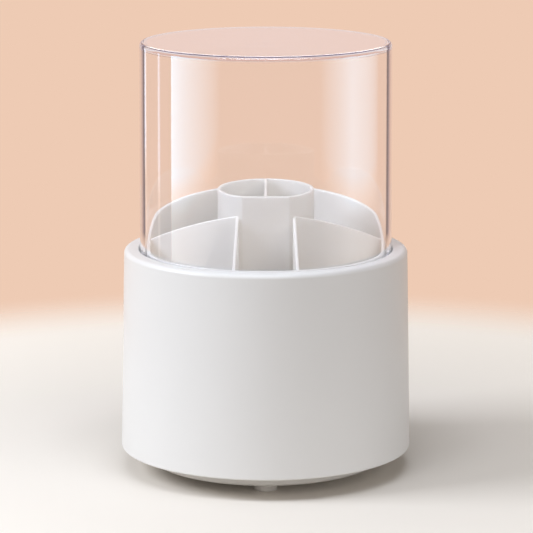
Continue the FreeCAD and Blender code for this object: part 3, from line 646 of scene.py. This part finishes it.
# The cover keeps dust off the brushes. It is moulded in clear SAN, a hard styrene plastic, with a polished
# wall and flat roof, and a small stub inside where the mould was filled. It stands loose on the shell's seat.
def clear_san(outer_skin, rim, top):
    """Clear styrene-acrylonitrile: glassy, faintly lavender where thick, with a trace of mould waviness.

    The outer skin's colour is painted dark where the wall is seen edge on and in a ring just below the roof.
    This is painted shade for the light that the bent wall sends away there.
    Light that is caught in the wall goes on straight, and lamps shine through.
    """
    wave_size = 30 * MM
    edge_from, edge_full = rim + 3 * MM, rim + 10 * MM
    ring_from, ring_full = 0.08 * MM, 0.17 * MM
    ring_fading, ring_end = 0.48 * MM, 0.66 * MM
    caught_after = 4.5
    made, tree = new_material("Clear SAN, polished")
    where = add_node(tree, "ShaderNodeTexCoord").outputs["Object"]
    wave = add_node(tree, "ShaderNodeTexNoise", {"Vector": where, "Scale": 1 / wave_size, "Detail": 1})
    bump = add_node(tree, "ShaderNodeBump", {
        "Height": wave.outputs["Fac"], "Strength": 0.02, "Distance": 0.3 * MM,
    })
    from_axis = add_node(tree, "ShaderNodeVectorMath", {0: where, 1: (1, 1, 0)}, operation="MULTIPLY")
    radius = add_node(tree, "ShaderNodeVectorMath", {0: from_axis.outputs["Vector"]}, operation="LENGTH")
    height = add_node(tree, "ShaderNodeSeparateXYZ", {"Vector": where}).outputs["Z"]
    wide = add_node(tree, "ShaderNodeMath", {
        0: radius.outputs["Value"], 1: outer_skin,
    }, operation="GREATER_THAN")
    free = add_node(tree, "ShaderNodeMapRange", {
        "Value": height, "From Min": edge_from, "From Max": edge_full,
    })
    outside = add_node(tree, "ShaderNodeMath", {
        0: wide.outputs["Value"], 1: free.outputs["Result"],
    }, operation="MULTIPLY")
    # Painted shade: the outer skin turns dark navy and lavender where the wall is seen edge on, above the
    # rim, in place of the dark surroundings that the bent wall would show.
    edge_on = add_node(tree, "ShaderNodeLayerWeight", {"Blend": 0.5}).outputs["Facing"]
    edge = add_node(tree, "ShaderNodeValToRGB", {"Fac": edge_on})
    painted_edge_shades = {
        0.0: "#FDFDFE", 0.675: "#FBFAFC", 0.695: "#F4F2FA", 0.718: "#12183A",
        0.755: "#12183A", 0.78: "#70749E", 0.82: "#B8B4C6", 0.88: "#E6E0E8",
    }
    for place, (stop, code) in enumerate(painted_edge_shades.items()):
        point = edge.color_ramp.elements[place] if place < 2 else edge.color_ramp.elements.new(stop)
        point.position = stop
        point.color = linear(code)
    clear = add_node(tree, "ShaderNodeMix", {
        "Factor": outside.outputs["Value"], "A": linear("#FDFDFE"), "B": edge.outputs["Color"],
    }, data_type="RGBA")
    # Painted shade: a thin dark violet ring on the outer skin just below the roof, where the rounding would
    # show a dark line.
    depth = add_node(tree, "ShaderNodeMath", {0: top, 1: height}, operation="SUBTRACT").outputs["Value"]
    start = add_node(tree, "ShaderNodeMapRange", {
        "Value": depth, "From Min": ring_from, "From Max": ring_full,
    })
    finish = add_node(tree, "ShaderNodeMapRange", {
        "Value": depth, "From Min": ring_fading, "From Max": ring_end, "To Min": 1.0, "To Max": 0.0,
    })
    ring = add_node(tree, "ShaderNodeMath", {
        0: start.outputs["Result"], 1: finish.outputs["Result"],
    }, operation="MULTIPLY")
    with_painted_ring = add_node(tree, "ShaderNodeMix", {
        "Factor": ring.outputs["Value"], "A": clear.outputs["Result"], "B": linear("#342E58"),
    }, data_type="RGBA")
    path = add_node(tree, "ShaderNodeLightPath")
    trapped = add_node(tree, "ShaderNodeMath", {
        0: path.outputs["Ray Depth"], 1: caught_after,
    }, operation="GREATER_THAN")
    straight = add_node(tree, "ShaderNodeMath", {
        0: path.outputs["Diffuse Depth"], 1: 0.5,
    }, operation="LESS_THAN")
    guided = add_node(tree, "ShaderNodeMath", {
        0: trapped.outputs["Value"], 1: straight.outputs["Value"],
    }, operation="MULTIPLY")
    colour = add_node(tree, "ShaderNodeMix", {
        "Factor": guided.outputs["Value"], "A": with_painted_ring.outputs["Result"], "B": linear("#F8F6FB"),
    }, data_type="RGBA")
    bending = add_node(tree, "ShaderNodeMapRange", {
        "Value": trapped.outputs["Value"], "To Min": 1.5, "To Max": 1.0,
    })
    shader = add_node(tree, "ShaderNodeBsdfPrincipled", {
        "Base Color": colour.outputs["Result"], "Roughness": 0.01, "IOR": bending.outputs["Result"],
        "Transmission Weight": 1.0, "Normal": bump.outputs["Normal"],
    })
    lamp_way = add_node(tree, "ShaderNodeBsdfTransparent", {"Color": linear("#FAFAFC")})
    surface = add_node(tree, "ShaderNodeMixShader", {
        "Fac": path.outputs["Is Shadow Ray"], 1: shader.outputs["BSDF"], 2: lamp_way.outputs["BSDF"],
    })
    tint = add_node(tree, "ShaderNodeVolumeAbsorption", {"Color": linear("#E4E0EE"), "Density": 8.0})
    add_node(tree, "ShaderNodeOutputMaterial", {
        "Surface": surface.outputs["Shader"], "Volume": tint.outputs["Volume"],
    })
    return made


cover_low, cover_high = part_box("dust_cover")
COVER_RADIUS = cover_high.x
COVER_TOP_RADIUS = COVER_RADIUS - 0.45 * MM
COVER_WALL = 2.2 * MM
ROOF_UNDER = cover_high.z - 2.4 * MM
GATE_RADIUS = 1.8 * MM
GATE_END = ROOF_UNDER - 1.9 * MM
ROOF_ROUND = 2.0 * MM
LIP_ROUND = 0.6 * MM
INNER_ROUND = 1.2 * MM
GATE_ROUND = 0.3 * MM
COVER_STEPS = 384
cover = as_object(turned([
    (0, cover_high.z),
    (COVER_TOP_RADIUS, cover_high.z),
    (COVER_RADIUS, cover_low.z),
    (COVER_RADIUS - COVER_WALL, cover_low.z),
    (COVER_TOP_RADIUS - COVER_WALL, ROOF_UNDER),
    (GATE_RADIUS, ROOF_UNDER),
    (GATE_RADIUS, GATE_END),
    (0, GATE_END),
], {1: ROOF_ROUND, 2: LIP_ROUND, 3: LIP_ROUND, 4: INNER_ROUND, 6: GATE_ROUND}, COVER_STEPS), "clear_cover",
    clear_san(COVER_RADIUS - COVER_WALL / 2, RIM, cover_high.z))
fit(cover, "cover", "cover_clear", "dust_cover")


# The floor is a pale cream table top. It keeps the holder's shadow and fades, some way off, into the world:
# a plain peach paper behind the holder, the same table below the horizon, and a soft white fill.
def table_top(near, far):
    """Matt cream lacquer that fades out between two distances from the middle.

    It looks paler further off, and from below it isn't there.
    """
    lift_from = 0.08
    lift_least, lift_most = 0.02, 0.45
    made, tree = new_material("Cream lacquer, matt")
    where = add_node(tree, "ShaderNodeTexCoord").outputs["Object"]
    distance = add_node(tree, "ShaderNodeVectorMath", {0: where}, operation="LENGTH")
    fade = add_node(tree, "ShaderNodeMapRange", {
        "Value": distance.outputs["Value"], "From Min": near, "From Max": far,
    }, interpolation_type="SMOOTHSTEP")
    side = add_node(tree, "ShaderNodeNewGeometry").outputs["Backfacing"]
    hidden = add_node(tree, "ShaderNodeMath", {0: fade.outputs["Result"], 1: side}, operation="MAXIMUM")
    paint = add_node(tree, "ShaderNodeBsdfDiffuse", {"Color": linear("#F5EEE5")})
    path = add_node(tree, "ShaderNodeLightPath")
    seen = path.outputs["Is Camera Ray"]
    for ray in ("Is Glossy Ray", "Is Transmission Ray"):
        either = add_node(tree, "ShaderNodeMath", {0: seen, 1: path.outputs[ray]}, operation="MAXIMUM")
        seen = either.outputs["Value"]
    far_off = add_node(tree, "ShaderNodeMapRange", {
        "Value": distance.outputs["Value"], "From Min": lift_from, "From Max": far,
        "To Min": lift_least, "To Max": lift_most,
    })
    lift = add_node(tree, "ShaderNodeMath", {0: seen, 1: far_off.outputs["Result"]}, operation="MULTIPLY")
    paler = add_node(tree, "ShaderNodeEmission", {
        "Color": linear("#FFF4E6"), "Strength": lift.outputs["Value"],
    })
    shader = add_node(tree, "ShaderNodeAddShader", {0: paint.outputs["BSDF"], 1: paler.outputs["Emission"]})
    clear = add_node(tree, "ShaderNodeBsdfTransparent")
    surface = add_node(tree, "ShaderNodeMixShader", {
        "Fac": hidden.outputs["Value"], 1: shader.outputs["Shader"], 2: clear.outputs["BSDF"],
    })
    add_node(tree, "ShaderNodeOutputMaterial", {"Surface": surface.outputs["Shader"]})
    return made


FLOOR_NEAR = 0.30
FLOOR_FAR = 0.42
TABLE_FROM = -0.26
TABLE_FULL = -0.36
FILL = 0.21
floor_mesh = bmesh.new()
bmesh.ops.create_circle(floor_mesh, cap_ends=True, segments=96, radius=FLOOR_FAR)
floor = as_object(floor_mesh, "table", table_top(FLOOR_NEAR, FLOOR_FAR))
floor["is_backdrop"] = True

world = bpy.data.worlds.new("Studio")
bpy.context.scene.world = world
world.use_nodes = True
sky = world.node_tree
sky.nodes.clear()
path = add_node(sky, "ShaderNodeLightPath")
seen = path.outputs["Is Camera Ray"]
for ray in ("Is Glossy Ray", "Is Transmission Ray"):
    either = add_node(sky, "ShaderNodeMath", {0: seen, 1: path.outputs[ray]}, operation="MAXIMUM")
    seen = either.outputs["Value"]
direct = add_node(sky, "ShaderNodeMath", {0: path.outputs["Diffuse Depth"], 1: 0.5}, operation="LESS_THAN")
shown = add_node(sky, "ShaderNodeMath", {0: seen, 1: direct.outputs["Value"]}, operation="MULTIPLY")
fill = add_node(sky, "ShaderNodeBackground", {"Color": linear("#FFF9F6"), "Strength": FILL})
way = add_node(sky, "ShaderNodeTexCoord").outputs["Generated"]
climb = add_node(sky, "ShaderNodeSeparateXYZ", {"Vector": way}).outputs["Z"]
below = add_node(sky, "ShaderNodeMapRange", {"Value": climb, "From Min": TABLE_FROM, "From Max": TABLE_FULL})
scenery = add_node(sky, "ShaderNodeMix", {
    "Factor": below.outputs["Result"], "A": linear("#EECBB4"), "B": linear("#FCF7F0"),
}, data_type="RGBA")
backdrop = add_node(sky, "ShaderNodeBackground", {"Color": scenery.outputs["Result"], "Strength": 1.0})
lit = add_node(sky, "ShaderNodeMixShader", {
    "Fac": shown.outputs["Value"], 1: fill.outputs["Background"], 2: backdrop.outputs["Background"],
})
add_node(sky, "ShaderNodeOutputWorld", {"Surface": lit.outputs["Shader"]})


# The light is soft and comes from the left, with a weak panel in front on the right and one above. A lamp on
# the divider alone makes up for the light that the cover keeps from it, and seven more lamps show only as the
# streaks and lines in the polished cover.
def panel(name, place, target, size, power, colour):
    """Soft rectangular lamp that faces a target and doesn't show itself."""
    data = bpy.data.lights.new(name, "AREA")
    data.shape = "RECTANGLE"
    data.size, data.size_y = size
    data.energy = power
    data.color = linear(colour)[:3]
    lamp = bpy.data.objects.new(name, data)
    lamp.location = place
    lamp.rotation_euler = (Vector(target) - Vector(place)).to_track_quat("-Z", "Y").to_euler()
    lamp.visible_camera = False
    lamp.visible_transmission = False
    bpy.context.scene.collection.objects.link(lamp)
    return lamp


def fade_across(lamp, colour, full_from, full_to, head):
    """Shape a lamp that shows only in the cover, by shares of its width and height.

    Its light rises from one edge to its full part and falls from there to the other edge. It ends above the
    head. Below the sill, where the divider stands behind the reflection, it is weak and nearly white.
    It leaves matt surfaces alone.
    """
    sill_low, sill_high = 0.12, 0.185
    below_sill = 0.3
    head_fade = 0.15
    past_edge = 0.01
    lamp.data.use_nodes = True
    tree = lamp.data.node_tree
    tree.nodes.clear()
    across = add_node(tree, "ShaderNodeNewGeometry").outputs["Parametric"]
    spot = add_node(tree, "ShaderNodeSeparateXYZ", {"Vector": across})
    sill = add_node(tree, "ShaderNodeMapRange", {
        "Value": spot.outputs["Y"], "From Min": sill_low, "From Max": sill_high,
        "To Min": below_sill, "To Max": 1.0,
    })
    shade = add_node(tree, "ShaderNodeMapRange", {
        "Value": spot.outputs["Y"], "From Min": sill_low, "From Max": sill_high,
    })
    tint = add_node(tree, "ShaderNodeMix", {
        "Factor": shade.outputs["Result"], "A": linear("#FFF6EE"), "B": linear(colour),
    }, data_type="RGBA")
    top = add_node(tree, "ShaderNodeMapRange", {
        "Value": spot.outputs["Y"], "From Min": head, "From Max": head + head_fade,
        "To Min": 1.0, "To Max": 0.0,
    })
    rise = add_node(tree, "ShaderNodeMapRange", {
        "Value": spot.outputs["X"], "From Min": -past_edge, "From Max": full_from,
    })
    fall = add_node(tree, "ShaderNodeMapRange", {
        "Value": spot.outputs["X"], "From Min": full_to, "From Max": 1 + past_edge,
        "To Min": 1.0, "To Max": 0.0,
    })
    bounces = add_node(tree, "ShaderNodeLightPath").outputs["Diffuse Depth"]
    share = add_node(tree, "ShaderNodeMath", {0: bounces, 1: 0.5}, operation="LESS_THAN").outputs["Value"]
    for part in (sill, top, rise, fall):
        product = add_node(tree, "ShaderNodeMath", {
            0: share, 1: part.outputs["Result"],
        }, operation="MULTIPLY")
        share = product.outputs["Value"]
    light = add_node(tree, "ShaderNodeEmission", {"Color": tint.outputs["Result"], "Strength": share})
    add_node(tree, "ShaderNodeOutputLight", {"Surface": light.outputs["Emission"]})


unpolished = bpy.data.collections.new("unpolished")
unpolished.objects.link(cover)
unpolished.collection_objects[0].light_linking.link_state = "EXCLUDE"
key = panel("key", (-0.81, -0.21, 0.64), (0, 0, 0.12), (0.45, 0.45), 6.8, "#F0F6FF")
front = panel("front", (0.96, -0.67, 0.36), (0, 0, 0.12), (0.5, 0.5), 1.4, "#FFFFFF")
for lamp in (key, front):
    lamp.light_linking.receiver_collection = unpolished
panel("ceiling", (0, -0.35, 0.88), (0, 0, 0.1), (0.6, 0.3), 3.2, "#F0F6FF")
inner = panel("inner", (0.75, -0.9, 0.75), (0, 0, 0.12), (0.5, 0.5), 4.0, "#FFF6EA")
inner.visible_glossy = False
parted = bpy.data.collections.new("parted")
parted.objects.link(divider)
inner.light_linking.receiver_collection = parted

polished = bpy.data.collections.new("polished")
polished.objects.link(cover)
for name, place, target, size, power, colour, full, head in (
    ("pane", (-0.51, 0.166, 0.20), (0, 0, 0.20), (0.05, 0.40), 0.3, "#B8DCFF", (0.5, 0.5), 0.5),
    ("window", (-0.50, -0.30, 0.20), (0, -0.30, 0.20), (0.60, 0.40), 7.5, "#A2E0FF", (0.0, 0.0), 0.5),
    ("side", (0.50, -0.09, 0.20), (0, -0.09, 0.20), (0.72, 0.40), 6.0, "#A2E0FF", (0.5, 0.5), 0.5),
    ("back", (0, 0.75, 0.55), (0, 0, 0.20), (0.80, 0.25), 5.0, "#FFFFFF", (0.5, 0.5), 1.0),
    ("brow", (0, -0.389, 0.522), (0, 0, 0.20), (1.0, 0.11), 5.2, "#D8ECFF", (0.2, 0.8), 1.0),
    ("strip", (-0.41, 0.437, 0.20), (0, 0, 0.20), (0.08, 0.40), 0.3, "#C8E4FF", (0.5, 0.5), 0.5),
    ("sky", (0, 1.0, 0.33), (0, 0, 0.207), (1.6, 0.40), 0.45, "#5AB3FF", (0.5, 0.5), 1.0),
):
    glint = panel(name, place, target, size, power, "#FFFFFF")
    glint.light_linking.receiver_collection = polished
    fade_across(glint, colour, *full, head)


# The camera stands in front of the holder and a little above it, at the photograph's distance. The box of
# the visual model is found, leaving out the floor.
camera_data = bpy.data.cameras.new("camera")
camera_data.sensor_width = 36
camera_data.lens = 196.76
camera = bpy.data.objects.new("camera", camera_data)
camera.location = (0.00035, -1.37458, 0.374758)
camera.rotation_euler = (math.radians(90 - 11.378), 0, 0)
bpy.context.scene.collection.objects.link(camera)
bpy.context.scene.camera = camera
bpy.context.scene.view_settings.view_transform = "Standard"

low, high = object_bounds()
